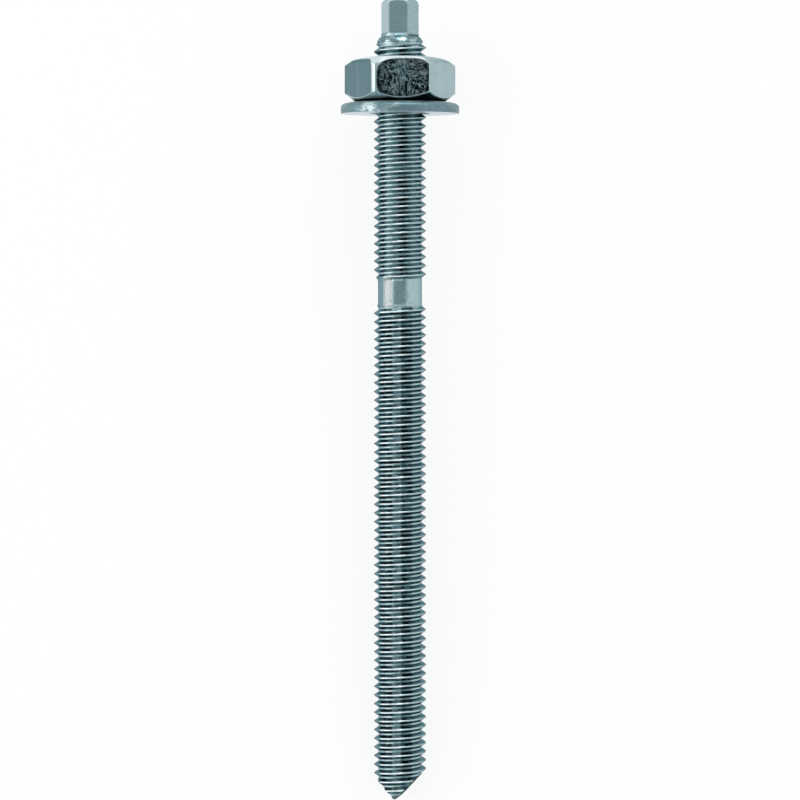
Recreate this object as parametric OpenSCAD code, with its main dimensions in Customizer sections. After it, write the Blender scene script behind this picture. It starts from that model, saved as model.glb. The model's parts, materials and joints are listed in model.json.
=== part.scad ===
// Threaded anchor rod with a hexagon drive, a hexagon nut and a flat washer.
// Millimetres. The pieces are drawn upright, with the tip's end at z = 0, the axis on Z, the
// head up and the front towards -Y. They are then laid on their side as the real ones come to
// rest: on the washer's rim and on the thread beside the tip, with the head towards +Y and the
// front up.

/* [Rod] */
// Length of the rod from the tip's ridge to the end of the hexagon drive
rod_length = 137.7; // [125:0.1:160]
// Diameter over the thread's crests
thread_d = 9.0; // [8.6:0.1:9.4]
// Depth of the thread, crest to root
thread_depth = 0.78; // [0.6:0.02:0.9]
// Pitch of the right-hand thread
pitch = 1.5; // [1.25:0.05:2]
// Length of thread below the setting mark, tip included
lower_length = 85.0; // [70:0.1:95]

/* [Setting mark] */
// Length of the smooth band that marks the setting depth
band_length = 4.3; // [3:0.1:8]
// Diameter of the smooth band
band_d = 7.6; // [7.4:0.1:8]

/* [Drive] */
// Size across the flats of the hexagon drive
drive_flats = 5.6; // [4.8:0.1:6]
// Length of the hexagon drive with its sloped facets
drive_length = 6.3; // [5:0.1:10]
// Length of the facets that slope from the flats to the collar
drive_slope = 0.8; // [0.4:0.1:1.5]
// Width of those facets, measured outwards
drive_slope_out = 0.5; // [0.2:0.1:0.8]
// Rounding of the hexagon drive's end
drive_round = 1.2; // [0.4:0.1:1.5]
// Turn of the hexagon drive about the axis, against the nut
drive_turn = -7; // [-30:1:30]
// Height of the collar between the hexagon drive and the thread
collar_height = 1.2; // [1:0.1:3]
// Diameter of the collar at its foot
collar_d = 7.9; // [7.6:0.1:8.2]
// Narrowing of the collar's diameter towards the hexagon drive
collar_taper = 0.7; // [0.2:0.1:1]

/* [Tip] */
// Angle of the roof-shaped tip's right slope from the axis
tip_angle_right = 43.5; // [35:0.5:60]
// Angle of the roof-shaped tip's left slope from the axis
tip_angle_left = 44.5; // [35:0.5:60]
// Width of the blunt ridge between the slopes
ridge_width = 0.6; // [0.1:0.1:1]
// Distance of the ridge from the axis, to the left
ridge_offset = 0.3; // [0:0.05:1.2]
// Turn of the ridge about the axis
ridge_turn = -9; // [-45:1:45]

/* [Nut] */
// Size across the nut's flats
nut_flats = 16.7; // [15:0.1:17.5]
// Height of the nut
nut_height = 7.8; // [6:0.1:10]
// Part of each corner that is turned off, measured along the diagonal
nut_corner_cut = 0.08; // [0.02:0.02:0.3]
// Turn of the nut about the axis
nut_turn = 2; // [-30:1:30]
// Diameter of the nut's flat lower face inside the corner chamfers
nut_face_d = 14.9; // [13.5:0.1:15]
// Angle of those chamfers from the lower face
nut_chamfer = 38; // [20:1:45]
// Diameter of the nut's flat upper face, outside which that end is crowned
nut_crown_d = 10.6; // [10.4:0.1:15]
// Fall of the crowned end from its flat face to the nut's corners
nut_crown = 1.6; // [0.6:0.1:2]
// Radial gap between the rod's crests and the nut's bore
nut_gap = 0.15; // [0.12:0.01:0.3]
// Depth of the countersink at each mouth of the nut's bore
nut_mouth = 0.5; // [0.2:0.1:1]
// Distance from the nut's upper face to the end of the hexagon drive
nut_below_end = 10.0; // [8.5:0.1:20]

/* [Washer] */
// Outer diameter of the washer
washer_d = 20.4; // [19.6:0.1:24]
// Thickness of the washer
washer_t = 1.9; // [1:0.1:3]
// Radial gap between the rod's crests and the washer's hole
washer_gap = 0.7; // [0.3:0.05:1]
// Chamfer of the washer's lower outer edge
washer_edge = 0.15; // [0.05:0.05:0.4]
// Rounding of the washer's upper outer edge
washer_round = 0.4; // [0.1:0.05:0.6]

/* [Hidden] */

rod_steel = "LightSteelBlue";
nut_steel = "SlateGray";
washer_steel = "LightSlateGray";

// Facets on a full circle, for turned surfaces and for the thread
turned_fn = 72;
thread_fn = 24;
// Straight steps in a rounded outline
round_steps = 5;

thread_r = thread_d / 2;
root_r = thread_r - thread_depth;
band_r = band_d / 2;
band_bottom = lower_length;
band_top = band_bottom + band_length;
drive_bottom = rod_length - drive_length;
drive_corner_r = drive_flats / 2 / cos(30);
collar_bottom = drive_bottom - collar_height;
collar_r = collar_d / 2;

nut_top = rod_length - nut_below_end;
nut_bottom = nut_top - nut_height;
nut_corner_r = nut_flats / 2 / cos(30);
nut_bore_r = thread_r + nut_gap;
washer_bottom = nut_bottom - washer_t;
washer_r = washer_d / 2;
washer_hole_r = thread_r + washer_gap;

// Heights over which a thread fades to plain steel, at the setting mark and at the collar, and
// the margin between its lines and its end faces
mark_fade = pitch / 2;
collar_fade = pitch / 4;
thread_margin = pitch / 8;
// Height of the first crest on the rod's front, from which the crests of both threads are counted
crest_phase = pitch;
// The thread's core ends this far inside the band and the collar, in a small step
core_step = 0.06;
core_r = band_r - core_step;

// Lean of the axis at rest, from the washer's lower rim and the last crest on the rod's back, and
// the height of the axis there over the surface
last_crest = crest_phase - pitch / 2;
lean = atan((washer_r - thread_r) / (washer_bottom + washer_edge - last_crest));
axis_height = thread_r * cos(lean) - last_crest * sin(lean);

// Share of the full thread at height z: 0 at an end face, and 1 where the fade is over
function fade(z, bottom, top, top_fade) =
    max(0, min(1, (z - bottom) / mark_fade, (top - z) / top_fade));

// Radius of line k, whose thread is here at the given share: even lines are crests and odd lines
// are roots
function line_r(k, share) = core_r + ((k % 2 == 0 ? thread_r : root_r) - core_r) * share;

// Height of line k at column i: each line climbs a pitch a turn, and lines are half a pitch apart
function line_z(k, i) = crest_phase + pitch * (k / 2 + i / thread_fn);

// Right-hand V thread between two flat end faces, as one closed shell. Column i holds the points
// of all lines at one angle, between a point on each end face. Past the last column the lines
// have climbed a pitch, so line k of the last column meets line k + 2 of the first.
module thread(bottom, top, top_fade) {
    first = ceil((bottom + thread_margin - crest_phase) / pitch * 2);
    last = floor((top - thread_margin - pitch - crest_phase) / pitch * 2);
    rows = last - first + 3;
    points = [
        for (i = [0 : thread_fn - 1], k = [first - 1 : last + 1])
            let (
                z = k < first ? bottom : k > last ? top : line_z(k, i),
                r = line_r(k, fade(z, bottom, top, top_fade)),
                angle = 360 * i / thread_fn - 90
            )
            [r * cos(angle), r * sin(angle), z]
    ];
    walls = [
        for (i = [0 : thread_fn - 2], k = [0 : rows - 2])
            [i * rows + k, i * rows + k + 1, (i + 1) * rows + k + 1, (i + 1) * rows + k]
    ];
    seam = (thread_fn - 1) * rows;
    seam_walls = [for (k = [1 : rows - 5]) [seam + k, seam + k + 1, k + 3, k + 2]];
    seam_bottom = [seam, seam + 1, 3, 2, 1, 0];
    seam_top = [for (k = [rows - 4 : rows - 1]) seam + k, rows - 1, rows - 2];
    bottom_face = [for (i = [0 : thread_fn - 1]) i * rows];
    top_face = [for (i = [thread_fn - 1 : -1 : 0]) i * rows + rows - 1];
    polyhedron(
        points,
        concat(walls, seam_walls, [seam_bottom, seam_top, bottom_face, top_face]),
        convexity = 20
    );
}

// Wedge that bounds the roof-shaped tip, with its ridge from front to back before the turn
module tip_wedge() {
    half = ridge_width / 2;
    rotate([90, 0, ridge_turn])
        translate([-ridge_offset, 0, -thread_d])
            linear_extrude(2 * thread_d)
                polygon([
                    [-half, 0],
                    [half, 0],
                    [half + rod_length * tan(tip_angle_right), rod_length],
                    [-half - rod_length * tan(tip_angle_left), rod_length]
                ]);
}

// The thread runs past the tip and is cut to the roof shape
module lower_thread() {
    intersection() {
        thread(-3 * pitch, band_bottom, mark_fade);
        tip_wedge();
    }
}

module setting_mark() {
    translate([0, 0, band_bottom]) cylinder(h = band_length, r = band_r, $fn = turned_fn);
}

module upper_thread() {
    thread(band_top, collar_bottom, collar_fade);
}

// The collar tapers towards the hexagon drive, under a rounded shoulder
module collar() {
    shoulder_r = collar_r - collar_taper / 2;
    round_r = (shoulder_r - drive_corner_r) / 2;
    translate([0, 0, collar_bottom])
        rotate_extrude($fn = turned_fn)
            polygon([
                [0, 0],
                [collar_r, 0],
                for (i = [0 : round_steps])
                    let (angle = 90 * i / round_steps)
                    [shoulder_r - round_r * (1 - cos(angle)),
                     collar_height - round_r * (1 - sin(angle))],
                [0, collar_height]
            ]);
}

// Six flats on a round spigot: facets slope out from the flats at the foot, and the end is
// rounded off
module hexagon_drive() {
    slope_corner_r = (drive_flats / 2 + drive_slope_out) / cos(30);
    spigot_r = drive_corner_r - 0.02;
    translate([0, 0, drive_bottom])
        rotate(drive_turn)
            intersection() {
                union() {
                    cylinder(h = drive_length, r = drive_corner_r, $fn = 6);
                    cylinder(h = drive_slope, r1 = slope_corner_r, r2 = drive_corner_r, $fn = 6);
                }
                rotate_extrude($fn = turned_fn)
                    polygon([
                        [0, 0],
                        [spigot_r, 0],
                        for (i = [0 : round_steps])
                            let (angle = 90 * i / round_steps)
                            [spigot_r - drive_round * (1 - cos(angle)),
                             drive_length - drive_round * (1 - sin(angle))],
                        [0, drive_length]
                    ]);
            }
}

module laid_down() {
    translate([0, -rod_length / 2, axis_height]) rotate([lean - 90, 0, 0]) children();
}

module anchor_rod() {
    color(rod_steel)
        laid_down()
            union() {
                lower_thread();
                setting_mark();
                upper_thread();
                collar();
                hexagon_drive();
            }
}

// Hexagon bar with its corners turned off a little, chamfered by a cone at the lower end and
// crowned to an arc at the upper end
module nut_blank() {
    face_r = nut_face_d / 2;
    chamfer_h = (nut_corner_r - face_r) * tan(nut_chamfer);
    crown_start = nut_crown_d / 2;
    crown_w = nut_corner_r - crown_start;
    crown_r = (pow(crown_w, 2) + pow(nut_crown, 2)) / (2 * nut_crown);
    intersection() {
        cylinder(h = nut_height, r = nut_corner_r, $fn = 6);
        cylinder(h = nut_height, r = nut_corner_r - nut_corner_cut, $fn = turned_fn);
        rotate_extrude($fn = turned_fn)
            polygon([
                [0, 0],
                [face_r, 0],
                [nut_corner_r, chamfer_h],
                for (i = [round_steps : -1 : 0])
                    let (out = crown_w * sqrt(i / round_steps))
                    [crown_start + out,
                     nut_height - crown_r + sqrt(pow(crown_r, 2) - pow(out, 2))],
                [0, nut_height]
            ]);
    }
}

// Bore with a countersink at each mouth
module nut_bore() {
    mouth_r = nut_bore_r + nut_mouth;
    rotate_extrude($fn = turned_fn)
        polygon([
            [0, -1],
            [mouth_r, -1],
            [mouth_r, 0],
            [nut_bore_r, nut_mouth],
            [nut_bore_r, nut_height - nut_mouth],
            [mouth_r, nut_height],
            [mouth_r, nut_height + 1],
            [0, nut_height + 1]
        ]);
}

module hex_nut() {
    color(nut_steel)
        laid_down()
            translate([0, 0, nut_bottom])
                rotate(nut_turn) difference() {
                    nut_blank();
                    nut_bore();
                }
}

module washer() {
    color(washer_steel)
        laid_down()
            translate([0, 0, washer_bottom])
                rotate_extrude($fn = turned_fn)
                    polygon([
                        [washer_hole_r, 0],
                        [washer_r - washer_edge, 0],
                        [washer_r, washer_edge],
                        for (i = [0 : round_steps])
                            let (angle = 90 * i / round_steps)
                            [washer_r - washer_round * (1 - cos(angle)),
                             washer_t - washer_round * (1 - sin(angle))],
                        [washer_hole_r, washer_t]
                    ]);
}

anchor_rod();
hex_nut();
washer();
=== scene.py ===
"""Dresses the threaded anchor rod, its hexagon nut and its washer, and sets them in a small studio.

The three pieces are modelled upright, in the rod's own frame: the tip's end at z = 0, the axis on
Z, the head up and the front towards -Y. They are then laid down where the packed model has them.
"""

import json
import math
from types import SimpleNamespace

import bmesh
import bpy
from bpy.props import FloatProperty, FloatVectorProperty, IntProperty, PointerProperty
from mathutils import Matrix, Vector


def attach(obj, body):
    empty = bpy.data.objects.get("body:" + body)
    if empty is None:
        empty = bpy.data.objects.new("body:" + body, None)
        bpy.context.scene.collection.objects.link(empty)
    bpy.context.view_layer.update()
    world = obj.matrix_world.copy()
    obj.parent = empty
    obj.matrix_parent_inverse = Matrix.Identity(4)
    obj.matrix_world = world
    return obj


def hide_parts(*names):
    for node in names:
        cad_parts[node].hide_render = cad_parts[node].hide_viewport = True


bl_info = {
    "name": "Anchor Rod Dressing",
    "version": (1, 0, 0),
    "blender": (4, 5, 0),
    "location": "3D View > Sidebar > Anchor Rod",
    "description": "Models and finishes a threaded anchor rod with its nut and washer",
    "category": "Object",
}

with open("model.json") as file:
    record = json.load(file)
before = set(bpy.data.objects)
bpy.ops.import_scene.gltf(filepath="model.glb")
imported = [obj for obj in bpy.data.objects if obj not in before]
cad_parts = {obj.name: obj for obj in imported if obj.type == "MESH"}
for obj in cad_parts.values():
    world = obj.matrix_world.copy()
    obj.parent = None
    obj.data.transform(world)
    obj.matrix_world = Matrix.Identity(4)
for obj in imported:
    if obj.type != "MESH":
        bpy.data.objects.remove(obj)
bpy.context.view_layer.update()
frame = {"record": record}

MM = 0.001
FULL_TURN = 2 * math.pi
MERGE = 1e-7  # Points of one surface that are closer than this are one
JOIN = 2e-6  # Points where two surfaces meet that are closer than this are one
LEVEL = 1e-6  # Points that differ less than this in height are level
FLAT_CORNERS = 8  # A face with more corners than this is a flat of its own, and shaded so
CUT_CORNERS = 12  # A face with more corners than this is a cut flat, and its edges are rounded
SHARP_FOLD = math.radians(40)  # An edge that folds by more than this is shaded sharp

MOUNTS = {mount["name"]: mount for mount in frame["record"]["mounts"]}
HEAD_END = Vector(MOUNTS["hex_drive"]["pos_m"])
AXIS = Vector(MOUNTS["hex_drive"]["axis"]).normalized()
ACROSS = Vector((1, 0, 0))


def length(name, description, millimetres):
    """Property of a length."""
    return FloatProperty(
        name=name, description=description, default=millimetres * MM, unit="LENGTH", precision=5
    )


def angle(name, description, degrees):
    """Property of an angle."""
    return FloatProperty(
        name=name, description=description, default=math.radians(degrees), subtype="ANGLE"
    )


def colour(name, description, value):
    """Property of a linear colour."""
    return FloatVectorProperty(
        name=name, description=description, default=value, subtype="COLOR", min=0, max=1
    )


def share(name, description, value):
    """Property of a share from 0 to 1."""
    return FloatProperty(
        name=name, description=description, default=value, min=0, max=1, subtype="FACTOR"
    )


class RodSizes(bpy.types.PropertyGroup):
    """Sizes of the rod, in the rod's own frame."""

    rod_length: length("Rod length", "From the tip's ridge to the end of the drive", 137.7)
    thread_radius: length("Thread radius", "Radius over the thread's crests", 4.5)
    thread_depth: length("Thread depth", "From crest to root", 0.79)
    pitch: length("Pitch", "Climb of the right-hand thread in one turn", 1.5)
    crest_height: length("Crest height", "Height of one crest on the rod's front", 1.5)
    crest_round: length("Crest rounding", "Radius of the thread's crests", 0.15)
    flank_lean: angle("Flank lean", "Turn of a flank from the axis", 58.5)
    root_round: length("Root rounding", "Radius of the thread's roots", 0.10)
    root_flat: length("Root flat", "Half the flat in the roots", 0.09)
    run_out: length("Run-out", "Height over which the thread fades at the mark", 1.1)
    collar_run_out: length("Collar run-out", "Height over which it fades at the collar", 0.4)
    run_in: length("Run-in", "Part of that height on the mark, at its lower edge", 0.3)
    band_bottom: length("Mark bottom", "Lower edge of the setting-mark band", 85.0)
    band_top: length("Mark top", "Upper edge of the setting-mark band", 89.3)
    band_radius: length("Mark radius", "Radius of the setting-mark band", 3.8)
    neck_radius: length("Neck radius", "Radius where the thread fades at the collar", 3.74)
    collar_bottom: length("Collar bottom", "Lower edge of the collar under the drive", 130.2)
    drive_bottom: length("Drive bottom", "Foot of the hexagon drive", 131.2)
    drive_flats: length("Drive flats", "Size across the hexagon drive's flats", 5.6)
    drive_slope: length("Drive slope", "Length of the sloped facets at the drive's foot", 0.6)
    drive_slope_out: length("Slope width", "Width of the sloped facets, outwards", 0.5)
    drive_spigot: length("Drive spigot", "Radius of the round bar that the flats are cut on", 3.26)
    drive_round: length("Drive end rounding", "Radius of the rounding at the drive's end", 1.2)
    drive_turn: angle("Drive turn", "Turn of the drive's flats about the axis", -7)
    tip_right: angle("Tip angle, right", "Angle of the tip's right slope from the axis", 43.5)
    tip_left: angle("Tip angle, left", "Angle of the tip's left slope from the axis", 44.5)
    ridge_width: length("Ridge width", "Width of the tip's blunt ridge", 0.6)
    ridge_offset: length("Ridge offset", "Distance of the ridge from the axis", 0.3)
    ridge_turn: angle("Ridge turn", "Turn of the ridge about the axis", -9)
    columns: IntProperty(name="Columns", description="Faces round the rod", default=72, min=24)


class NutSizes(bpy.types.PropertyGroup):
    """Sizes of the nut."""

    flats: length("Flats", "Size across the nut's flats", 16.7)
    bottom: length("Bottom", "Height of the nut's lower face in the rod's frame", 119.9)
    height: length("Height", "Height of the nut", 7.8)
    corner_radius: length("Corner radius", "Radius over the nut's turned corners", 9.53)
    face_radius: length("Face radius", "Radius of the flat lower face", 7.58)
    crown_radius: length("Crown radius", "Radius where the upper face starts to round off", 5.6)
    chamfer: angle("Chamfer", "Angle of the corner chamfers from the end faces", 38)
    edge_round: length("Edge rounding", "Rounding along the edges of the flats", 0.22)
    mouth_radius: length("Mouth radius", "Radius of the countersink at the end faces", 5.1)
    clearance: length("Thread clearance", "Radial gap between the two threads", 0.09)
    turn: angle("Turn", "Turn of the nut about the axis", 2)
    columns: IntProperty(name="Columns", description="Faces round the nut", default=144, min=24)


class WasherSizes(bpy.types.PropertyGroup):
    """Sizes of the washer."""

    bottom: length("Bottom", "Height of the washer's lower face in the rod's frame", 118.0)
    thickness: length("Thickness", "Thickness of the washer", 1.9)
    radius: length("Radius", "Outer radius of the washer", 10.2)
    hole_radius: length("Hole radius", "Radius of the washer's hole", 5.2)
    roll_drop: length("Rolled edge, height", "Height of the upper edge's roll from blanking", 0.85)
    roll_width: length("Rolled edge, width", "Width of the upper edge's roll from blanking", 1.5)
    sharp_edge: length("Sharp edge", "Rounding of the other edges", 0.11)
    columns: IntProperty(name="Columns", description="Faces round the washer", default=160, min=24)


class ZincLook(bpy.types.PropertyGroup):
    """Colours and gloss of the zinc-plated steel."""

    plate: colour("Plate", "Colour of bright zinc plate", (0.37, 0.50, 0.53))
    # Burnished wear on the crests, and also the colour of painted highlights on the rod, the nut
    # and the washer
    wear_and_highlight: colour("Worn crest", "Colour where the plate is burnished", (0.89, 0.97, 0.99))
    shade: colour("Shade", "Colour of the plate in its darker places", (0.12, 0.21, 0.235))
    # Dark skin of drawn bar, and also the colour of painted shade in the thread's grooves, of a
    # painted shadow under the nut and of painted shade on the drive and the tip
    skin_and_painted_shade: colour("Skin", "Colour of the dark skin of drawn bar", (0.005, 0.012, 0.015))
    satin: colour("Satin", "Colour of the washer's satin plate", (0.17, 0.27, 0.30))
    glare: colour("Glare", "Colour of the plate where a strip lamp bleaches it", (0.50, 0.54, 0.54))
    gloss_rough: share("Roughness, rolled", "Roughness of the rolled thread", 0.2)
    flat_rough: share("Roughness, flats", "Roughness of the nut's and drive's flats", 0.3)
    satin_rough: share("Roughness, satin", "Roughness of the washer", 0.45)
    edge_tint: colour(
        "Edge tint", "Tint of the thread where it is seen edge-on", (0.42, 0.52, 0.55)
    )


class StudioLook(bpy.types.PropertyGroup):
    """Floor, surroundings, lamps and camera."""

    floor: colour("Floor", "Colour of the floor", (0.95, 0.95, 0.95))
    own_light: share("Floor's own light", "Part of its brightness that no shadow dims", 0.85)
    room: colour("Room", "Colour of the surroundings", (1.0, 1.0, 1.0))
    flag: colour("Flag", "Colour of the dark card above the part", (0.26, 0.35, 0.365))
    distance: length("Camera distance", "From the camera to the rod's axis", 702)
    camera_height: length("Camera height", "Place on the rod straight under the camera", 89.0)
    camera_tilt: angle("Camera tilt", "Tilt of the camera towards the tip", 1.66)
    view_angle: angle("View angle", "Angle that the picture's width takes in", 11.233)


GROUPS = {
    "rod_sizes": RodSizes,
    "nut_sizes": NutSizes,
    "washer_sizes": WasherSizes,
    "zinc_look": ZincLook,
    "studio_look": StudioLook,
}


# Placing


def laid_down(sizes):
    """Matrix that takes the rod's own frame to where the packed rod lies."""
    turn = Matrix((ACROSS, AXIS.cross(ACROSS), AXIS)).transposed().to_4x4()
    return Matrix.Translation(HEAD_END - AXIS * sizes.rod_length) @ turn


def add_object(name, bm, material):
    """Puts a mesh in the scene as an object of one material."""
    mesh = bpy.data.meshes.new(name)
    bm.to_mesh(mesh)
    bm.free()
    mesh.materials.append(material)
    made = bpy.data.objects.new(name, mesh)
    bpy.context.scene.collection.objects.link(made)
    return made


def finish_piece(name, bm, body, node, material, sizes):
    """Makes a finished piece of a mesh modelled in the rod's own frame."""
    bmesh.ops.dissolve_degenerate(bm, edges=bm.edges, dist=MERGE)
    bmesh.ops.recalc_face_normals(bm, faces=bm.faces)
    bm.normal_update()
    for face in bm.faces:
        face.smooth = True
    for edge in bm.edges:
        flat = any(len(face.verts) > FLAT_CORNERS for face in edge.link_faces)
        edge.smooth = edge.is_manifold and not flat and edge.calc_face_angle(0) < SHARP_FOLD
    bm.transform(laid_down(sizes))
    piece = add_object(name, bm, material)
    normals = piece.modifiers.new("Flat faces lead", "WEIGHTED_NORMAL")
    normals.keep_sharp = True
    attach(piece, body)
    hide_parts(node)
    return piece


# Modelling


def everything(bm):
    """All the parts of a mesh."""
    return bm.verts[:] + bm.edges[:] + bm.faces[:]


def line_of(bm, points):
    """Edges through points given as (height, radius), on the front of the axis."""
    verts = [bm.verts.new((0, -radius, height)) for height, radius in points]
    return verts + [bm.edges.new(pair) for pair in zip(verts, verts[1:])]


def turned(points, columns, closed=False):
    """Turned surface of a (height, radius) line, or of a closed outline."""
    bm = bmesh.new()
    geometry = line_of(bm, points)
    if closed:
        bm.verts.ensure_lookup_table()
        geometry.append(bm.edges.new((bm.verts[-1], bm.verts[0])))
    bmesh.ops.spin(
        bm, geom=geometry, cent=(0, 0, 0), axis=(0, 0, 1), angle=FULL_TURN, steps=columns,
        use_merge=True,
    )
    return bm


def threaded(points, columns, pitch):
    """Right-hand helical surface of a line that repeats at every pitch: each column of faces
    climbs, and the last meets the first one pitch higher."""
    bm = bmesh.new()
    bmesh.ops.spin(
        bm, geom=line_of(bm, points), cent=(0, 0, 0), axis=(0, 0, 1), angle=FULL_TURN,
        steps=columns, dvec=(0, 0, pitch / columns), use_merge=False,
    )
    bmesh.ops.remove_doubles(bm, verts=bm.verts, dist=MERGE)
    return bm


def add_mesh(bm, other):
    """Adds another mesh to a mesh, and frees the other."""
    part = bpy.data.meshes.new("part")
    other.to_mesh(part)
    other.free()
    bm.from_mesh(part)
    bpy.data.meshes.remove(part)


def close_rings(bm):
    """Closes each open ring with one face."""
    rings = [edge for edge in bm.edges if edge.is_boundary]
    bmesh.ops.edgeloop_fill(bm, edges=rings)


def cut_off(bm, point, outward):
    """Cuts away what lies beyond a plane, and closes the cut."""
    cut = bmesh.ops.bisect_plane(
        bm, geom=everything(bm), dist=MERGE, plane_co=point, plane_no=outward, clear_outer=True
    )
    edges = [part for part in cut["geom_cut"] if isinstance(part, bmesh.types.BMEdge)]
    bmesh.ops.triangle_fill(bm, edges=edges, use_beauty=True, use_dissolve=True, normal=outward)


def soften(bm, edges, width, segments):
    """Rounds edges."""
    bmesh.ops.bevel(
        bm, geom=edges, offset=width, offset_type="OFFSET", segments=segments, profile=0.5,
        affect="EDGES", material=-1, clamp_overlap=True,
    )


def folded(bm, least, low=-math.inf):
    """Edges above a height that fold by more than a number of degrees."""
    return [
        edge
        for edge in bm.edges
        if edge.is_manifold
        and edge.calc_face_angle(0) > math.radians(least)
        and all(low < vert.co.z for vert in edge.verts)
    ]


def set_radius(vert, radius):
    """Moves a vertex straight out from the axis, or in, to a radius."""
    vert.co.xy = vert.co.xy * (radius / vert.co.xy.length)


def bend(steps):
    """Angles from 0 to a quarter turn, in even steps."""
    return [math.radians(90 * step / steps) for step in range(steps + 1)]


def rounded(height, radius, up, out, leans):
    """Points (height, radius) of a rounding that sets out along the axis and bends sideways."""
    return [(height + up * math.sin(lean), radius + out * (1 - math.cos(lean))) for lean in leans]


def thread_line(sizes, low, high, grow=0.0):
    """Points (height, radius) of the thread's section, in whole pitches from low to past high:
    rounded crests, straight flanks and rounded roots."""
    half = sizes.pitch / 2
    crest = sizes.thread_radius + grow
    root = crest - sizes.thread_depth
    leans = [sizes.flank_lean * part for part in (0, 0.5, 1)]
    one = rounded(half - sizes.root_flat, root, -sizes.root_round, sizes.root_round, leans)
    one += rounded(0, crest, sizes.crest_round, -sizes.crest_round, reversed(leans))
    one = [(-height, radius) for height, radius in one] + one[::-1]
    first = math.floor((low - sizes.crest_height) / sizes.pitch)
    last = math.ceil((high - sizes.crest_height) / sizes.pitch)
    return [
        (sizes.crest_height + number * sizes.pitch + height, radius)
        for number in range(first, last + 1)
        for height, radius in one
    ]


def smooth_step(value):
    """Smooth rise from 0 at 0 to 1 at 1."""
    value = min(1.0, max(0.0, value))
    return value * value * (3 - 2 * value)


def hexagon_sides(turn):
    """Outward directions of six flats, one of them towards the front before the turn."""
    for number in range(6):
        bearing = turn + number * FULL_TURN / 6 - FULL_TURN / 4
        yield Vector((math.cos(bearing), math.sin(bearing), 0))


# Pitches that the shank's surface starts below the tip's end, and those that it stays plain
START_TURNS = 2.6
PLAIN_TURNS = 1.3


def threaded_shank(sizes):
    """Both threads with the setting-mark band between them, as one surface from below the tip to
    the foot of the collar. The thread's lines run on through the band, faded to its radius."""
    low = -START_TURNS * sizes.pitch
    bm = threaded(thread_line(sizes, low, sizes.collar_bottom), sizes.columns, sizes.pitch)
    floor = low + PLAIN_TURNS * sizes.pitch
    for vert in bm.verts:
        height = vert.co.z
        radius = vert.co.xy.length
        if height < sizes.band_top + sizes.run_out * 2:
            plain = sizes.band_radius
            below = (sizes.band_bottom + sizes.run_in - height) / sizes.run_out
            above = (height - sizes.band_top) / (sizes.run_out - sizes.run_in)
            away = max(below, above)
        else:
            plain = sizes.neck_radius
            away = (sizes.collar_bottom - height) / sizes.collar_run_out
        kept = smooth_step(away) * smooth_step((height - floor) / sizes.run_out)
        set_radius(vert, plain + (radius - plain) * kept)
        vert.co.z = min(sizes.collar_bottom, max(floor, height))
    bmesh.ops.remove_doubles(bm, verts=bm.verts, dist=MERGE)
    return bm


# Slope on each side of the tip, and the cut that rounds the ridge: share of the slope's steepness,
# share of the way from the ridge's middle to its edge, and height in millimetres
TIP_CUTS = ((1.0, 1.0, 0.10), (0.45, 0.62, 0.02))


def roof_tip(bm, sizes):
    """Cuts the lower end to a roof with a blunt, rounded ridge."""
    turn = Matrix.Rotation(sizes.ridge_turn, 3, "Z")
    half = sizes.ridge_width / 2
    middle = -sizes.ridge_offset
    for side, slope in ((1, sizes.tip_right), (-1, sizes.tip_left)):
        for steepness, place, lift in TIP_CUTS:
            lean = slope + (math.radians(90) - slope) * (1 - steepness)
            point = Vector((middle + side * half * place, 0, lift * MM))
            outward = Vector((side * math.cos(lean), 0, -math.sin(lean)))
            cut_off(bm, turn @ point, turn @ outward)
    cut_off(bm, Vector((0, 0, 0)), Vector((0, 0, -1)))


# Outline of the collar: share of its height, and radius in millimetres
COLLAR_LINE = (
    (0.0, 3.92), (0.02, 3.96), (0.26, 3.9), (0.50, 3.76), (0.68, 3.65), (0.82, 3.55), (0.93, 3.4),
)


def collar(sizes):
    """Collar that rounds over to the foot of the drive."""
    low, high = sizes.collar_bottom, sizes.drive_bottom
    rise = high - low
    points = [(low, sizes.neck_radius)]
    points += [(low + rise * up, radius * MM) for up, radius in COLLAR_LINE]
    points.append((high, sizes.drive_spigot))
    return turned(points, sizes.columns)


def drive_foot(sizes):
    """Foot of the drive, with facets that slope in from the round bar to the flats."""
    low = sizes.drive_bottom
    high = low + sizes.drive_slope
    bm = turned([(low, sizes.drive_spigot), (high, sizes.drive_spigot)], sizes.columns)
    close_rings(bm)
    for side in hexagon_sides(sizes.drive_turn):
        point = side * (sizes.drive_flats / 2) + Vector((0, 0, high))
        outward = (side * sizes.drive_slope + Vector((0, 0, sizes.drive_slope_out))).normalized()
        cut_off(bm, point, outward)
    drop_caps(bm, (low, high))
    return bm


def drop_caps(bm, heights):
    """Takes out the flat faces that lie square to the axis at the given heights."""
    caps = [
        face
        for face in bm.faces
        if any(all(abs(vert.co.z - height) < LEVEL for vert in face.verts) for height in heights)
    ]
    bmesh.ops.delete(bm, geom=caps, context="FACES_ONLY")
    loose = [edge for edge in bm.edges if not edge.link_faces]
    bmesh.ops.delete(bm, geom=loose, context="EDGES")


# Steps round the drive's end, and the rounding of edges that fold by more degrees than the fold
DRIVE_STEPS = 8
DRIVE_FOLD = 12
DRIVE_EDGE = 0.05 * MM


def drive_head(sizes):
    """Hexagon drive above its foot, with a rounded end."""
    low = sizes.drive_bottom + sizes.drive_slope
    shoulder = sizes.rod_length - sizes.drive_round
    points = [(low, sizes.drive_spigot)]
    points += rounded(
        shoulder, sizes.drive_spigot, sizes.drive_round, -sizes.drive_round, bend(DRIVE_STEPS)
    )
    bm = turned(points, sizes.columns)
    close_rings(bm)
    for side in hexagon_sides(sizes.drive_turn):
        cut_off(bm, side * (sizes.drive_flats / 2), side)
    soften(bm, folded(bm, DRIVE_FOLD, low=low + DRIVE_EDGE), DRIVE_EDGE, 2)
    drop_caps(bm, (low,))
    return bm


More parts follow.
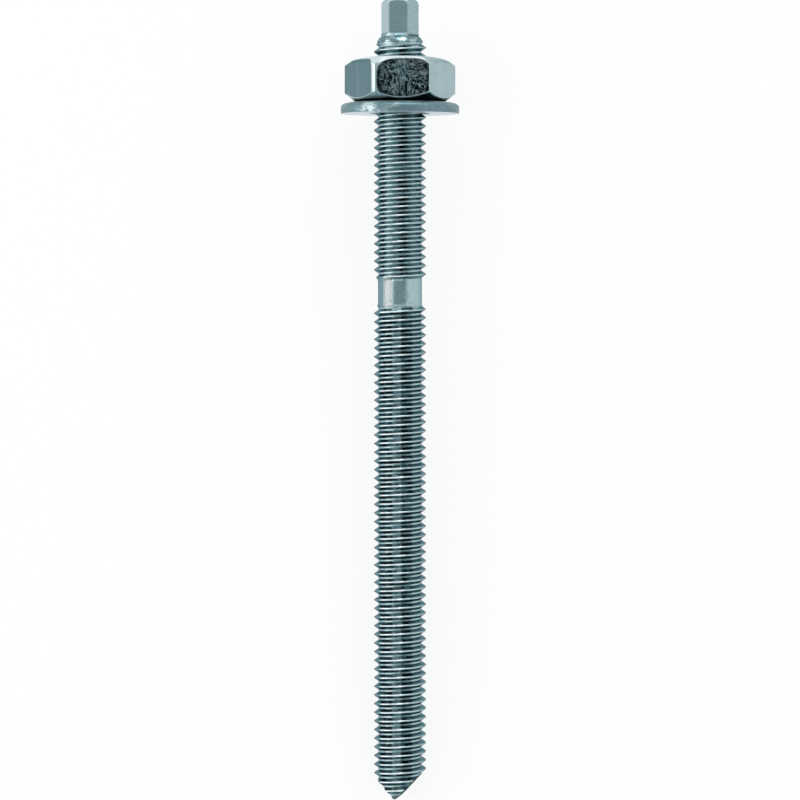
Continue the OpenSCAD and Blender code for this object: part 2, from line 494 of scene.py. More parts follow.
def rod_mesh(sizes):
    """Whole rod, as one closed surface."""
    bm = threaded_shank(sizes)
    cap = [edge for edge in bm.edges if edge.is_boundary and edge.verts[0].co.z < 0]
    bmesh.ops.edgeloop_fill(bm, edges=cap)
    roof_tip(bm, sizes)
    for part in (collar(sizes), drive_foot(sizes), drive_head(sizes)):
        add_mesh(bm, part)
    bmesh.ops.remove_doubles(bm, verts=bm.verts, dist=JOIN)
    return bm


# Outline of the nut's crown: share of the way out to the corners, and share of the chamfer's drop
CROWN_LINE = ((0.70, 0.45), (0.55, 0.29), (0.38, 0.16), (0.18, 0.06), (0, 0))


def nut_outside(sizes):
    """Hexagon bar with turned corners and a cone at each end, open at the bore."""
    drop = (sizes.corner_radius - sizes.face_radius) * math.tan(sizes.chamfer)
    crown = sizes.corner_radius - sizes.crown_radius
    low, high = sizes.bottom, sizes.bottom + sizes.height
    points = [
        (low, sizes.mouth_radius),
        (low, sizes.face_radius),
        (low + drop, sizes.corner_radius),
        (high - drop, sizes.corner_radius),
    ]
    points += [(high - drop * fall, sizes.crown_radius + crown * out) for out, fall in CROWN_LINE]
    points.append((high, sizes.mouth_radius))
    bm = turned(points, sizes.columns)
    for side in hexagon_sides(sizes.turn):
        cut_off(bm, side * (sizes.flats / 2), side)
    rims = [
        edge
        for edge in bm.edges
        if edge.is_manifold and max(len(face.verts) for face in edge.link_faces) > CUT_CORNERS
    ]
    soften(bm, rims, sizes.edge_round, 3)
    return bm


# Pitches of internal thread below and above the nut, to be pressed onto its end faces
TURNS_BELOW, TURNS_ABOVE = 1.2, 0.2
# Widening of a mouth's countersink, as a share of its height
MOUTH_SLOPE = 1.2


def nut_bore(rod, sizes):
    """Internal thread on the rod's own helix, cut back by a countersink at each mouth."""
    low, high = sizes.bottom, sizes.bottom + sizes.height
    start, stop = low - TURNS_BELOW * rod.pitch, high + TURNS_ABOVE * rod.pitch
    bm = threaded(thread_line(rod, start, stop, sizes.clearance), sizes.columns, rod.pitch)
    for vert in bm.verts:
        height = min(high, max(low, vert.co.z))
        cone = sizes.mouth_radius - min(height - low, high - height) * MOUTH_SLOPE
        if vert.co.z <= low or vert.co.z >= high:
            set_radius(vert, sizes.mouth_radius)
        else:
            set_radius(vert, max(cone, vert.co.xy.length))
        vert.co.z = height
    bmesh.ops.remove_doubles(bm, verts=bm.verts, dist=MERGE)
    return bm


def nut_mesh(rod, sizes):
    """Whole nut, as one closed surface."""
    bm = nut_outside(sizes)
    add_mesh(bm, nut_bore(rod, sizes))
    bmesh.ops.remove_doubles(bm, verts=bm.verts, dist=JOIN)
    return bm


# Steps round the washer's rolled edge, and degrees of fold that make an edge one to round
ROLL_STEPS = 7
WASHER_FOLD = 45


def washer_mesh(sizes):
    """Washer with its upper edge rolled over."""
    low, high = sizes.bottom, sizes.bottom + sizes.thickness
    outline = [(low, sizes.hole_radius), (low, sizes.radius)]
    outline += rounded(
        high - sizes.roll_drop, sizes.radius, sizes.roll_drop, -sizes.roll_width, bend(ROLL_STEPS)
    )
    outline.append((high, sizes.hole_radius))
    bm = turned(outline, sizes.columns, closed=True)
    soften(bm, folded(bm, WASHER_FOLD), sizes.sharp_edge, 3)
    return bm


# Finishes


class Wire:
    """Output of a shader node. Arithmetic on it adds Math nodes."""

    def __init__(self, finish, socket):
        self.finish = finish
        self.socket = socket

    def maths(self, operation, *others):
        """Result of a Math node on this wire and others."""
        return self.finish.add(
            "ShaderNodeMath", {"operation": operation}, dict(enumerate((self, *others)))
        )

    def __add__(self, other):
        return self.maths("ADD", other)

    def __sub__(self, other):
        return self.maths("SUBTRACT", other)

    def __rsub__(self, other):
        return self.finish.add("ShaderNodeMath", {"operation": "SUBTRACT"}, {0: other, 1: self})

    def __mul__(self, other):
        return self.maths("MULTIPLY", other)

    def __truediv__(self, other):
        return self.maths("DIVIDE", other)

    def __pow__(self, other):
        return self.maths("POWER", other)

    __radd__ = __add__
    __rmul__ = __mul__

    def between(self, low, high):
        """0 up to low, 1 from high on, and a smooth rise between them."""
        return self.finish.add(
            "ShaderNodeMapRange",
            {"interpolation_type": "SMOOTHSTEP"},
            {"Value": self, "From Min": low, "From Max": high},
        )

    def within(self, low, high, soft):
        """1 between two limits and 0 outside them, with soft ends."""
        return self.between(low - soft, low + soft) * (1 - self.between(high - soft, high + soft))

    def strips(self, limits):
        """1 in any of several strips that lie apart, and 0 outside them."""
        first, *others = (self.within(*strip) for strip in limits)
        return sum(others, first)


class Finish:
    """Node tree of one material."""

    def __init__(self, name):
        self.material = bpy.data.materials.new(name)
        self.material.use_nodes = True
        self.tree = self.material.node_tree
        self.tree.nodes.clear()

    def add(self, kind, settings=None, sockets=None, output=0):
        """Adds a node: its settings first, then the values or wires of its sockets."""
        node = self.tree.nodes.new(kind)
        for key, value in (settings or {}).items():
            setattr(node, key, value)
        for key, value in (sockets or {}).items():
            socket = node.inputs[key]
            if isinstance(value, Wire):
                self.tree.links.new(value.socket, socket)
            else:
                socket.default_value = value
        return Wire(self, node.outputs[output]) if node.outputs else None

    def blend(self, part, first, second):
        """Mixes two colours, each a wire or a linear colour: the first at 0, the second at 1."""
        first, second = (c if isinstance(c, Wire) else (*c[:3], 1.0) for c in (first, second))
        return self.add(
            "ShaderNodeMix",
            {"data_type": "RGBA", "blend_type": "MIX"},
            {0: part, 6: first, 7: second},
            output=2,
        )

    def place(self, sizes):
        """Position in the rod's own frame, in millimetres."""
        where = laid_down(sizes)
        return self.add(
            "ShaderNodeMapping",
            {"vector_type": "TEXTURE"},
            {
                "Vector": self.add("ShaderNodeTexCoord", output=3),
                "Location": where.to_translation(),
                "Rotation": where.to_euler(),
                "Scale": (MM, MM, MM),
            },
        )

    def parts(self, vector):
        """The three parts of a vector."""
        node = self.add("ShaderNodeSeparateXYZ", None, {0: vector}).socket.node
        return [Wire(self, socket) for socket in node.outputs]

    def vector(self, x, y, z):
        """Vector of three parts."""
        return self.add("ShaderNodeCombineXYZ", None, {0: x, 1: y, 2: z})

    def noise(self, where, scale, detail=2.0, rough=0.5, warp=0.0):
        """Noise of about 0 to 1. Scale is in features per millimetre."""
        return self.add(
            "ShaderNodeTexNoise",
            {"noise_dimensions": "3D"},
            {
                "Vector": where,
                "Scale": scale,
                "Detail": detail,
                "Roughness": rough,
                "Distortion": warp,
            },
        )

    def bump(self, height, depth, below=None):
        """Relief of a height from 0 to 1 that is worth a depth in millimetres."""
        sockets = {"Strength": 1.0, "Distance": depth * MM, "Height": height}
        if below is not None:
            sockets["Normal"] = below
        return self.add("ShaderNodeBump", None, sockets)

    def metal(self, colour, roughness, normal, edge_tint=(1, 1, 1)):
        """Ends the tree with metal, and gives the material."""
        shader = self.add(
            "ShaderNodeBsdfPrincipled",
            None,
            {
                "Base Color": colour,
                "Metallic": 1.0,
                "Roughness": roughness,
                "Normal": normal,
                "Specular Tint": (*edge_tint[:3], 1.0),
            },
        )
        self.add("ShaderNodeOutputMaterial", None, {"Surface": shader})
        return self.material


# Strips of painted shade, painted glare and painted highlights along the rod's front, by the place
# across it in millimetres: start, end and softness
SEEN_SQUARE = (-3.45, 3.25, 0.15)
DARK_ABOVE_MARK = ((-3.25, -2.65, 0.1), (-0.3, 1.9, 0.3))
BLACKEST_SHADE_ABOVE_MARK = ((-0.3, 1.2, 0.3), (-3.3, -2.75, 0.1))
DARK_BELOW_MARK = ((-3.7, -1.4, 0.15), (0.25, 2.25, 0.12))
OPEN_BELOW_MARK = (-1.3, 0.25, 0.1)
LAMP_GLARE = (-2.8, -1.45, 0.1)
LAMP_GLARE_EDGE = (-3.15, -2.9, 0.08)
SHADED_ROOTS = (0.15, 2.0, 0.3)
DIMMED_CRESTS = (-3.6, -1.3, 0.15)
LIT_CREST = (-2.9, 0.7, 0.2)
LIT_MARK_EDGE = (-1.35, 0.5, 0.12)
LIT_COLLAR = (-2.6, -0.1, 0.3)
DRIVE_FRONT = (-1.9, 1.3)
# Soft limits of the rod's right side, where the flanks get painted shade, and of the drive's left
# flat, which gets a painted highlight, across the rod in millimetres
RIGHT_SIDE = (2.1, 2.4)
LEFT_FLAT = (-1.85, -1.7)
# Share of a turn of the thread, from a crest up: start, end and softness of the rising flank
RISING_FLANK = (0.04, 0.44, 0.04)


def rod_places(finish, rod):
    """Wires for places on the rod, each 1 there and 0 elsewhere, with the position in millimetres
    and the noises that follow the rolling."""
    where = finish.place(rod)
    x, y, z = finish.parts(where)
    radius = (x * x + y * y) ** 0.5
    crest = rod.thread_radius / MM
    root = (rod.thread_radius - rod.thread_depth) / MM
    low, high = rod.band_bottom / MM, rod.band_top / MM
    neck, foot = rod.collar_bottom / MM, rod.drive_bottom / MM
    mark = z.within(low - 0.2, high + 0.4, 0.25)
    threads = (1 - mark) * (1 - z.between(neck - 0.7, neck))
    above_root = radius.between(root + 0.01, root + 0.08)
    below_crest = 1 - radius.between(crest - 0.14, crest - 0.05)
    turns = x.maths("ARCTAN2", y * -1) / FULL_TURN
    climbed = (z - rod.crest_height / MM) / (rod.pitch / MM) - turns
    return SimpleNamespace(
        where=where, x=x, y=y, z=z, low=low, high=high, foot=foot, mark=mark, threads=threads,
        upper=z.between(low, high),
        flank=above_root * below_crest * threads,
        rubbed_and_lit=radius.between(crest - 0.09, crest - 0.02) * threads,
        collar=z.within(neck - 0.1, foot + 0.1, 0.1),
        drive=z.between(foot + 0.3, foot + 0.8),
        edge_on=1 - x.within(*SEEN_SQUARE),
        lamp_glare_strip=x.within(*LAMP_GLARE),
        phase=climbed.maths("FRACT"),
        rolling=finish.noise(finish.vector(x * 0.9, y * 0.9, z * 6), 1.0, 3.0, 0.6),
        streaks=finish.noise(finish.vector(x * 0.9, y * 0.9, z * 2.2), 1.0, 2.0, 0.6),
    )


def thread_tone(finish, look, at):
    """Colour of the threads, mostly painted light: flanks painted dark as shade, or lighter where
    open, in strips along the rod, the strip lamp's glare and painted shade on the roots, and crests
    that are worn and painted with highlights."""
    x, upper = at.x, at.upper
    # Painted shade in the grooves: the falling flanks are dark all round, the rising ones in strips
    # along the rod's front, blackest in some strips
    strips = x.strips(DARK_ABOVE_MARK) * upper + x.strips(DARK_BELOW_MARK) * (1 - upper)
    rising = at.phase.within(*RISING_FLANK)
    dark = 1 - rising * (1 - strips * at.streaks.between(0.25, 0.5))
    right_side = x.between(*RIGHT_SIDE) * (1 - upper)
    middle = x.within(*OPEN_BELOW_MARK) * (1 - at.z.between(at.low - 1.5, at.low - 0.9))
    # Painted highlight on the open flanks, strongest in the middle below the mark, and painted
    # shade on them at the rod's right side
    open_flank = finish.blend(middle * 0.6 + 0.18, look.plate, look.wear_and_highlight)
    open_flank = finish.blend(right_side * 0.8, open_flank, look.satin)
    calm = upper * (1 - x.strips(BLACKEST_SHADE_ABOVE_MARK)) + right_side
    blackest_shade = at.streaks.between(0.4, 0.62) * (1 - calm * 0.7)
    dark_flank = finish.blend(blackest_shade, look.shade, look.skin_and_painted_shade)
    tone = finish.blend(at.flank, look.plate, finish.blend(dark, open_flank, dark_flank))
    # Painted shade on the flanks at the rod's sides, where they are seen edge-on
    edge_flank = finish.blend(at.streaks.between(0.35, 0.6), look.satin, look.shade)
    tone = finish.blend(at.flank * at.edge_on, tone, edge_flank)
    off_flank = (1 - at.flank) * at.threads
    # Painted glare of the strip lamp on the roots and crests, in one strip along the rod's front
    glare_tone = finish.blend(0.6 - upper * 0.2, look.glare, look.satin)
    tone = finish.blend(at.lamp_glare_strip * off_flank * 0.8, tone, glare_tone)
    # Painted shade on the roots, in a strip right of the middle
    root_shade = x.within(*SHADED_ROOTS) * off_flank * (1 - at.rubbed_and_lit)
    tone = finish.blend(root_shade * (0.9 - upper * 0.45), tone, look.shade)
    # Crests: wear, with painted highlights that are brightest left of the middle and dimmer to the
    # left, to the right and at the sides
    dimmed = x.within(*DIMMED_CRESTS) * (0.2 + upper * 0.35)
    crest_wear_and_highlight = finish.blend(x.between(0.0, 0.9) * 0.9 + dimmed, look.wear_and_highlight, look.plate)
    crest_wear_and_highlight = finish.blend(at.edge_on * (1 - x.between(0, 1) * 0.7), crest_wear_and_highlight, look.satin)
    return finish.blend(at.rubbed_and_lit * (0.4 + at.rolling.between(0.3, 0.6) * 0.7), tone, crest_wear_and_highlight)


def mark_tone(finish, look, at, tone):
    """Adds the setting mark to the rod's colour: the strip lamp's glare painted on it, painted
    shade on its left side with a painted dark line between them, and painted highlights on its
    upper edge and on the last crest above it."""
    x, z, high = at.x, at.z, at.high
    # Painted glare of the strip lamp on the mark
    tone = finish.blend(at.lamp_glare_strip * at.mark, tone, finish.blend(0.36, look.glare, look.skin_and_painted_shade))
    # Painted shade on the mark's left side
    tone = finish.blend(at.mark * (1 - x.between(-3.0, -2.85)) * 0.6, tone, look.satin)
    # Painted dark line at the glare's left edge
    tone = finish.blend(at.mark * x.within(*LAMP_GLARE_EDGE) * at.streaks, tone, look.shade)
    # Painted highlights on the mark's upper edge and on the last crest above it
    on_crest = at.phase.between(0.88, 0.94) + (1 - at.phase.between(0.06, 0.12))
    lit = on_crest * z.within(high + 0.4, high + 1.25, 0.1) * x.within(*LIT_CREST)
    lit = lit + z.within(high - 0.1, high + 0.22, 0.06) * x.within(*LIT_MARK_EDGE)
    return finish.blend(lit.maths("MINIMUM", 1.0) * 0.9, tone, look.wear_and_highlight)


def drive_tone(finish, look, rod, at, tone, brushed, spots):
    """Adds the spotted collar and the drive to the rod's colour: brushed flats, painted highlights
    on the drive's left flat, on the collar and on the rounded end, painted shade at the right
    flat's foot and a dark line at the front flat's foot."""
    x, z = at.x, at.z
    tone = finish.blend(brushed.between(0.4, 0.7) * at.drive * 0.3, tone, look.shade)
    # Painted highlight on the drive's left flat
    tone = finish.blend(at.drive * (1 - x.between(*LEFT_FLAT)) * 0.37, tone, look.wear_and_highlight)
    tone = finish.blend(at.collar * spots.between(0.46, 0.55) * 0.9, tone, look.shade)
    # Painted highlight on the collar, in spots
    lights = at.collar * (1 - spots.between(0.35, 0.42)) * x.within(*LIT_COLLAR)
    tone = finish.blend(lights, tone, look.wear_and_highlight)
    # Painted shade on the sloped foot of the drive's right flat
    painted_foot_shade = z.within(at.foot + 0.08, at.foot + 0.28, 0.05) * x.between(1.25, 1.4)
    tone = finish.blend(painted_foot_shade, tone, look.skin_and_painted_shade)
    flats = (rod.drive_bottom + rod.drive_slope) / MM
    line = z.within(flats, flats + 0.1, 0.04) * x.within(*DRIVE_FRONT, 0.1)
    tone = finish.blend(line * 0.8, tone, look.shade)
    # Painted highlight on the drive's rounded end
    top = rod.rod_length / MM
    end = z.between(top - 0.5, top - 0.3) * x.within(*DRIVE_FRONT, 0.2)
    return finish.blend(end * 0.8, tone, look.wear_and_highlight)


def tip_cut(rod, at):
    """1 on the tip's right slope, which is sheared, and 0 elsewhere."""
    turn = rod.ridge_turn
    sideways = at.x * math.cos(turn) + at.y * math.sin(turn) + rod.ridge_offset / MM
    right = (sideways - rod.ridge_width / 2 / MM) * math.cos(rod.tip_right)
    return 1 - (at.z * math.sin(rod.tip_right) - right).between(0.09, 0.14)


def rolled_zinc(rod, look):
    """Finish of the rod: rolled threads with faint marks that follow the turns and with painted
    shade, glare and highlights, the setting mark, the brushed drive and the sheared tip, darkened
    further with painted shade."""
    finish = Finish("rolled_zinc_steel")
    at = rod_places(finish, rod)
    blotch = finish.noise(at.where, 1.1, 3.0, 0.6)
    fine = finish.noise(at.where, 14.0, 2.0, 0.6)
    brushed = finish.noise(finish.vector(at.x * 0.4, at.y * 0.4, at.z * 9), 1.0, 2.0, 0.6)
    spots = finish.noise(at.where, 0.9, 3.0, 0.6, 0.6)
    cut = tip_cut(rod, at)
    tone = thread_tone(finish, look, at)
    tone = mark_tone(finish, look, at, tone)
    tone = finish.blend(blotch.between(0.5, 0.8) * 0.4 * (1 - at.rubbed_and_lit), tone, look.shade)
    tone = drive_tone(finish, look, rod, at, tone, brushed, spots)
    point = (1 - at.z.between(0.7, 1.2)) * (1 - cut)
    tone = finish.blend(point * 0.6, tone, look.plate)
    # The sheared tip is dark steel, darkened further as painted shade
    tone = finish.blend(cut, tone, finish.blend(0.3, look.skin_and_painted_shade, look.shade))
    roughness = (
        look.gloss_rough
        + (blotch - 0.5) * 0.12
        + (fine - 0.5) * 0.08
        + at.rubbed_and_lit * 0.08
        + at.drive * (look.flat_rough - look.gloss_rough)
        + cut * 0.5
    )
    relief = finish.bump(at.rolling * (1 - at.drive), 0.03)
    relief = finish.bump(finish.noise(at.where, 1.7, 2.0, 0.5), 0.03, relief)
    relief = finish.bump(spots * at.collar, 0.06, relief)
    relief = finish.bump(brushed * at.drive, 0.004, relief)
    relief = finish.bump(fine, 0.006, relief)
    return finish.metal(tone, roughness, relief, look.edge_tint)


# Half a flat's field of dark skin with painted shade, or of streaks with painted shade, as a share
# of the flat's width and in millimetres of height. The power sets how square its corners are
FIELD_WIDTH, FIELD_WIDER, FIELD_HEIGHT = 0.475, 0.02, 3.5
FIELD_POWER, FIELD_LESS_SQUARE = 6, 2.6
# Width of a flat between the turned corners, in millimetres
FLAT_WIDTH = 8.8


def nut_places(finish, rod, nut):
    """Wires for places on the nut, with the position in millimetres. From the front to the right,
    the flats are in turn dark, pale and streaky: the dark one's skin is partly painted reflection
    of a dark front, and the streaky one is painted darker as shade."""
    where = finish.place(rod)
    x, y, z = finish.parts(where)
    low, high = nut.bottom / MM, (nut.bottom + nut.height) / MM
    sixth = FULL_TURN / 6
    bearing = x.maths("ARCTAN2", y * -1) / sixth + (0.5 - nut.turn / sixth)
    along = bearing.maths("FRACT") - 0.5
    number = bearing.maths("WRAP", 3.0, 0.0)
    past_shaded_skin_flat = number.between(0.98, 1.0)
    streaky = number.between(1.98, 2.0)
    shaded_skin_flat = 1 - past_shaded_skin_flat
    aside = along - shaded_skin_flat * 0.03 + streaky * 0.05
    left = shaded_skin_flat * (1 - aside.between(-0.2, 0.2))
    half = FIELD_WIDTH + past_shaded_skin_flat * FIELD_WIDER + left * FIELD_WIDER
    height = z - ((low + high) / 2 - 0.1)
    power = FIELD_POWER - left * FIELD_LESS_SQUARE
    reach = (aside / half).maths("ABSOLUTE") ** power
    reach = reach + (height / FIELD_HEIGHT).maths("ABSOLUTE") ** power
    radius = (x * x + y * y) ** 0.5
    lip = z - low - (radius - nut.face_radius / MM) * math.tan(nut.chamfer)
    flat = radius * (along * sixth).maths("COSINE") - nut.flats / 2 / MM
    return SimpleNamespace(
        where=where, x=x, z=z, low=low, high=high, height=height,
        number=number, shaded_skin_flat=shaded_skin_flat, streaky=streaky, reach=reach,
        pale=past_shaded_skin_flat * (1 - streaky),
        across=along * FLAT_WIDTH,
        inside=(1 - reach.between(0.85, 1.05)) * lip.between(0.04, 0.14),
        under=(1 - flat.between(-0.3, -0.12)) * (1 - z.between(low + 1.4, low + 2.2)),
    )


def forged_zinc(rod, nut, look):
    """Finish of the nut: in turn round it a flat with the dark, crinkled skin of drawn bar, partly
    painted reflection of a dark front, with lighter crinkles that are partly painted glints, a pale
    flat, a streaky one painted darker as shade, and rounded edges with painted highlights."""
    finish = Finish("forged_zinc_steel")
    at = nut_places(finish, rod, nut)
    x, z, low, high, across, height = at.x, at.z, at.low, at.high, at.across, at.height
    streaks = finish.noise(finish.vector(across * 1.6, at.number, z * 0.12), 1.0, 2.0, 0.5)
    # The skin's crinkles run across the flat at its upper right and upright at its foot
    level = across.between(0.6, 1.4) * height.between(0.4, 1.2)
    upright = across.within(-1.0, 2.0, 0.4) * (1 - height.between(-1.2, -0.2))
    face = finish.vector(
        across * (1 - level * 0.6 + upright * 0.6),
        height * (0.9 + level * 1.1 - upright * 0.5),
        at.number * 7,
    )
    crinkle = finish.noise(face, 0.52, 3.0, 0.5, 2.6)
    lines = 1 - (crinkle - 0.5).maths("ABSOLUTE").between(0.006, 0.028)
    flecks = finish.noise(face, 1.0, 2.0, 0.6, 0.8).between(0.54, 0.6)
    specks = finish.noise(face, 1.6, 1.0, 0.5, 1.0).between(0.64, 0.72)
    blotch = finish.noise(at.where, 0.5, 3.0, 0.6)
    fine = finish.noise(at.where, 12.0, 2.0, 0.6)
    # The front flat's dark skin is partly painted reflection of a dark front; the streaky flat's
    # field is painted darker as shade
    skin, streaked = at.shaded_skin_flat * at.inside, at.streaky * at.inside
    tone = finish.blend(blotch.between(0.3, 0.75) * 0.2, look.plate, look.satin)
    tone = finish.blend(streaked, tone, look.shade)
    tone = finish.blend(streaked * streaks.between(0.55, 0.75) * 0.3, tone, look.plate)
    tone = finish.blend(skin, tone, look.skin_and_painted_shade)
    column = across.within(-0.9, 0.7, 0.5) * height.between(-1.5, 0.5)
    tone = finish.blend(skin * column * 0.45, tone, look.shade)
    # Lighter crinkles on the skin, partly painted glints
    border = at.reach.between(0.3, 0.75)
    drawn = (lines + flecks * 0.4).maths("MINIMUM", 1.0) * (1 - border * 0.75)
    tone = finish.blend(skin * drawn, tone, finish.blend(0.12, look.plate, look.wear_and_highlight))
    scratch = across.within(-0.55, -0.4, 0.1) * at.streaky
    tone = finish.blend(scratch * 0.35, tone, look.plate)
    tone = finish.blend(skin * specks * 0.5, tone, look.plate)
    # Painted highlights on the rounded edges, the crown and the chamfers, stronger above the lower
    # chamfer and at the front, and weaker on the pale flats
    rims = (1 - at.inside) * (1 - at.under) * (1 - at.pale * 0.8)
    lit = 0.25 + x.within(-3.4, 4.0, 0.8) * 0.4
    tone = finish.blend(rims * (0.25 + z.between(low + 1.5, low + 2.6) * lit), tone, look.wear_and_highlight)
    # Painted shadow: the gap over the washer is painted black, and opens up on the left into a
    # painted highlight
    gap = x.between(-3.4, -1.4) + (1 - z.between(low + 0.35, low + 0.6))
    gap_tone = finish.blend(gap.maths("MINIMUM", 1.0), look.wear_and_highlight, look.skin_and_painted_shade)
    tone = finish.blend(at.under * 0.95, tone, gap_tone)
    crown = z.between(high - 1.5, high - 0.9)
    roughness = look.flat_rough + (blotch - 0.5) * 0.12 + (fine - 0.5) * 0.08 + crown * 0.35
    relief = finish.bump(crinkle * skin, 0.08)
    relief = finish.bump(streaks * at.streaky, 0.03, relief)
    relief = finish.bump(fine, 0.005, relief)
    return finish.metal(tone, roughness, relief)


def satin_zinc(rod, sizes, look):
    """Finish of the washer: pale satin faces and a darker, mottled rim with upright shear marks,
    with a painted highlight in one place on the rim's left and on the underside."""
    finish = Finish("satin_zinc_steel")
    where = finish.place(rod)
    x, y, z = finish.parts(where)
    radius = (x * x + y * y) ** 0.5
    low, high = sizes.bottom / MM, (sizes.bottom + sizes.thickness) / MM
    rim = radius.between(sizes.radius / MM - 0.6, sizes.radius / MM - 0.4)
    rim = rim * (1 - z.between(high - 0.25, high - 0.1))
    # Painted highlight on the rim's left
    painted_highlight_place = rim * x.within(-6.4, -4.2, 0.6)
    # Painted highlight on the underside and its edge
    foot = 1 - z.between(low, low + 0.06)
    shear = finish.noise(finish.vector(x * 2.2, y * 2.2, z * 0.8), 1.0, 3.0, 0.6)
    mottle = finish.noise(finish.vector(x, y, z * 1.4), 0.55, 3.0, 0.65, 0.8)
    spots = finish.noise(finish.vector(x, y, z * 1.2), 1.3, 3.0, 0.65, 0.5)
    smears = finish.noise(finish.vector(x * 0.9, y * 0.9, z * 2.6), 1.0, 2.0, 0.5)
    blotch = finish.noise(where, 0.7, 3.0, 0.6)
    fine = finish.noise(where, 9.0, 3.0, 0.6)
    tone = finish.blend(blotch.between(0.3, 0.8) * 0.2, look.plate, look.satin)
    tone = finish.blend(rim * (0.85 + shear * 0.4), tone, look.satin)
    tone = finish.blend(rim * spots.between(0.48, 0.64) * 0.6, tone, look.shade)
    tone = finish.blend(rim * mottle.between(0.55, 0.7) * 0.25, tone, look.wear_and_highlight)
    tone = finish.blend(painted_highlight_place * smears.between(0.42, 0.56) * 0.5, tone, look.wear_and_highlight)
    tone = finish.blend(foot * 0.6, tone, look.wear_and_highlight)
    roughness = look.satin_rough + (blotch - 0.5) * 0.1 + (fine - 0.5) * 0.12
    relief = finish.bump(shear * rim, 0.04)
    relief = finish.bump(mottle * rim, 0.05, relief)
    relief = finish.bump(fine, 0.012, relief)
    return finish.metal(tone, roughness, relief)


def matt(name, tone):
    """Plain matt finish of the stage."""
    finish = Finish(name)
    shader = finish.add(
        "ShaderNodeBsdfPrincipled",
        None,
        {"Base Color": (*tone[:3], 1.0), "Roughness": 0.95, "Specular IOR Level": 0.1},
    )
    finish.add("ShaderNodeOutputMaterial", None, {"Surface": shader})
    return finish.material


def seen_floor(name, look):
    """Matt floor. The camera, and metal that mirrors it, see part of its brightness as its own
    light, so that it stays white while the part's shadow still shows on it."""
    finish = Finish(name)
    rays = finish.add("ShaderNodeLightPath").socket.node.outputs
    seen = Wire(finish, rays["Is Camera Ray"]) + Wire(finish, rays["Is Glossy Ray"])
    seen = seen + Wire(finish, rays["Is Transmission Ray"])
    plain = finish.add("ShaderNodeBsdfDiffuse", None, {"Color": (*look.floor[:3], 1.0)})
    dim = tuple(part * (1 - look.own_light) for part in look.floor[:3])
    shaded = finish.add("ShaderNodeBsdfDiffuse", None, {"Color": (*dim, 1.0)})
    glow = finish.add(
        "ShaderNodeEmission", None, {"Color": (1, 1, 1, 1), "Strength": look.own_light}
    )
    both = finish.add("ShaderNodeAddShader", None, {0: shaded, 1: glow})
    shader = finish.add(
        "ShaderNodeMixShader", None, {0: seen.maths("MINIMUM", 1.0), 1: plain, 2: both}
    )
    finish.add("ShaderNodeOutputMaterial", None, {"Surface": shader})
    return finish.material


# Studio


def add_plate(name, width, depth, centre, material):
    """Flat rectangle of the stage, level, at a centre."""
    bm = bmesh.new()
    bmesh.ops.create_grid(bm, x_segments=1, y_segments=1, size=0.5)
    bmesh.ops.scale(bm, verts=bm.verts, vec=(width, depth, 1))
    bmesh.ops.translate(bm, verts=bm.verts, vec=centre)
    add_object(name, bm, material)


def add_softbox(name, centre, target, width, height, radiance):
    """Rectangular lamp that faces a target. Radiance is what a mirror would show of it."""
    lamp = bpy.data.lights.new(name, "AREA")
    lamp.shape = "RECTANGLE"
    lamp.size, lamp.size_y = width, height
    lamp.energy = radiance * math.pi * width * height
    softbox = bpy.data.objects.new(name, lamp)
    bpy.context.scene.collection.objects.link(softbox)
    softbox.location = centre
    softbox.rotation_euler = (Vector(target) - Vector(centre)).to_track_quat("-Z", "Y").to_euler()


# Stage, in metres: the floor's side, the dark card's width, depth and centre, and each lamp's
# centre, width, height and radiance
FLOOR_SIDE = 8.0
CARD = (1.82, 0.7, (0, 0, 1.3))
LAMPS = {
    "top_light": ((0.15, 1.15, 0.62), 0.9, 0.5, 3.0),
    "strip_left": ((-0.6, -0.02, 0.26), 0.45, 0.5, 1.1),
}
NEAREST_SEEN, FARTHEST_SEEN = 0.05, 20.0


# Operators


class ANCHORROD_OT_rod(bpy.types.Operator):
    """Model the rod with its helical thread, setting mark, drive and roof-shaped tip"""

    bl_idname = "anchorrod.rod"
    bl_label = "Threaded Rod"

    def execute(self, context):
        rod, look = context.scene.rod_sizes, context.scene.zinc_look
        finish_piece(
            "threaded_rod", rod_mesh(rod), "rod", "anchor_rod",
            rolled_zinc(rod, look), rod,
        )
        return {"FINISHED"}


class ANCHORROD_OT_nut(bpy.types.Operator):
    """Model the hexagon nut with its internal thread"""

    bl_idname = "anchorrod.nut"
    bl_label = "Hexagon Nut"

    def execute(self, context):
        rod, nut, look = context.scene.rod_sizes, context.scene.nut_sizes, context.scene.zinc_look
        finish_piece(
            "hexagon_nut", nut_mesh(rod, nut), "nut", "hex_nut",
            forged_zinc(rod, nut, look), rod,
        )
        return {"FINISHED"}


class ANCHORROD_OT_washer(bpy.types.Operator):
    """Model the flat washer with its rolled and sheared edges"""

    bl_idname = "anchorrod.washer"
    bl_label = "Flat Washer"

    def execute(self, context):
        rod, washer = context.scene.rod_sizes, context.scene.washer_sizes
        look = context.scene.zinc_look
        finish_piece(
            "flat_washer", washer_mesh(washer), "washer", "washer",
            satin_zinc(rod, washer, look), rod,
        )
        return {"FINISHED"}


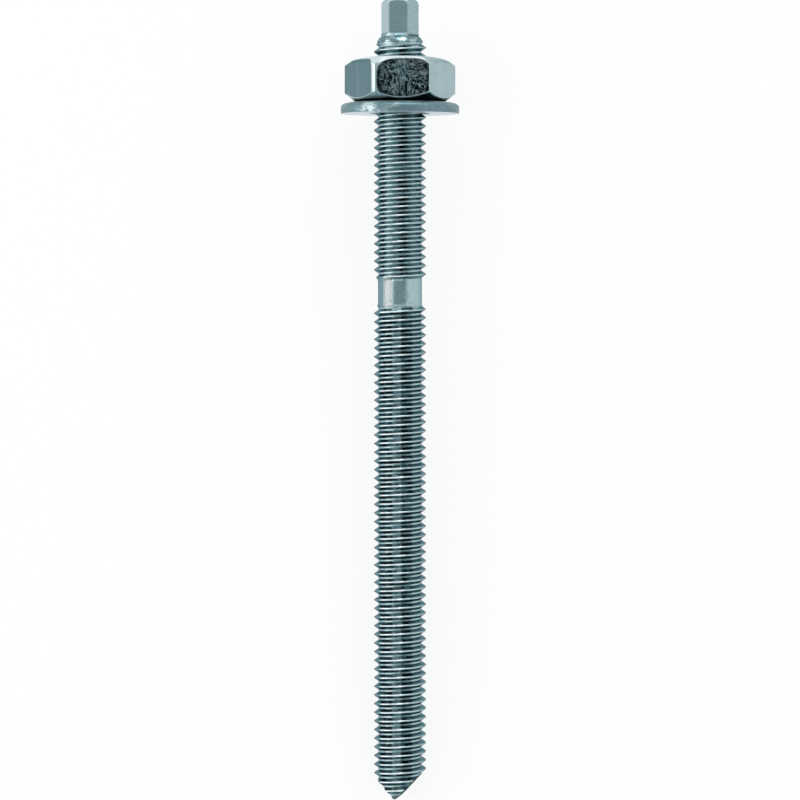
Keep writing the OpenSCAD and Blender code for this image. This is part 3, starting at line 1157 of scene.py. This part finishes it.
class ANCHORROD_OT_studio(bpy.types.Operator):
    """Set the floor, the dark card, the lamps, the surroundings and the camera"""

    bl_idname = "anchorrod.studio"
    bl_label = "Studio"

    def execute(self, context):
        rod, look = context.scene.rod_sizes, context.scene.studio_look
        place = laid_down(rod)
        middle = place @ Vector((0, 0, rod.rod_length / 2))
        add_plate("floor", FLOOR_SIDE, FLOOR_SIDE, (0, 0, 0), seen_floor("pale_floor", look))
        add_plate("dark_card", *CARD, matt("dark_card", look.flag))
        for name, (centre, width, height, radiance) in LAMPS.items():
            add_softbox(name, centre, middle, width, height, radiance)

        world = bpy.data.worlds.new("room")
        world.use_nodes = True
        background = world.node_tree.nodes["Background"]
        background.inputs["Color"].default_value = (*look.room[:3], 1.0)
        background.inputs["Strength"].default_value = 1.0
        context.scene.world = world

        camera = bpy.data.cameras.new("camera")
        camera.angle = look.view_angle
        camera.clip_start, camera.clip_end = NEAREST_SEEN, FARTHEST_SEEN
        seat = bpy.data.objects.new("camera", camera)
        context.scene.collection.objects.link(seat)
        seat.matrix_world = (
            place
            @ Matrix.Translation((0, -look.distance, look.camera_height))
            @ Matrix.Rotation(math.radians(90) - look.camera_tilt, 4, "X")
        )
        context.scene.camera = seat
        context.scene.view_settings.view_transform = "Standard"
        return {"FINISHED"}


class ANCHORROD_PT_panel(bpy.types.Panel):
    """Buttons for the pieces and the studio"""

    bl_idname = "ANCHORROD_PT_panel"
    bl_label = "Anchor Rod"
    bl_space_type = "VIEW_3D"
    bl_region_type = "UI"
    bl_category = "Anchor Rod"

    def draw(self, context):
        for operator in OPERATORS:
            self.layout.operator(operator.bl_idname)
        for name, group in GROUPS.items():
            box = self.layout.box()
            box.label(text=group.__doc__)
            for field in group.__annotations__:
                box.prop(getattr(context.scene, name), field)


OPERATORS = (ANCHORROD_OT_rod, ANCHORROD_OT_nut, ANCHORROD_OT_washer, ANCHORROD_OT_studio)
CLASSES = (*GROUPS.values(), *OPERATORS, ANCHORROD_PT_panel)


def register():
    """Registers the add-on's classes, and hangs their sizes and looks on the scene."""
    for made in CLASSES:
        bpy.utils.register_class(made)
    for name, group in GROUPS.items():
        setattr(bpy.types.Scene, name, PointerProperty(type=group))


def unregister():
    """Takes back what register() did."""
    for name in GROUPS:
        delattr(bpy.types.Scene, name)
    for made in reversed(CLASSES):
        bpy.utils.unregister_class(made)


def main():
    """Registers the add-on, then builds the pieces and the studio."""
    register()
    bpy.ops.anchorrod.rod()
    bpy.ops.anchorrod.nut()
    bpy.ops.anchorrod.washer()
    bpy.ops.anchorrod.studio()


if __name__ == "__main__":
    main()
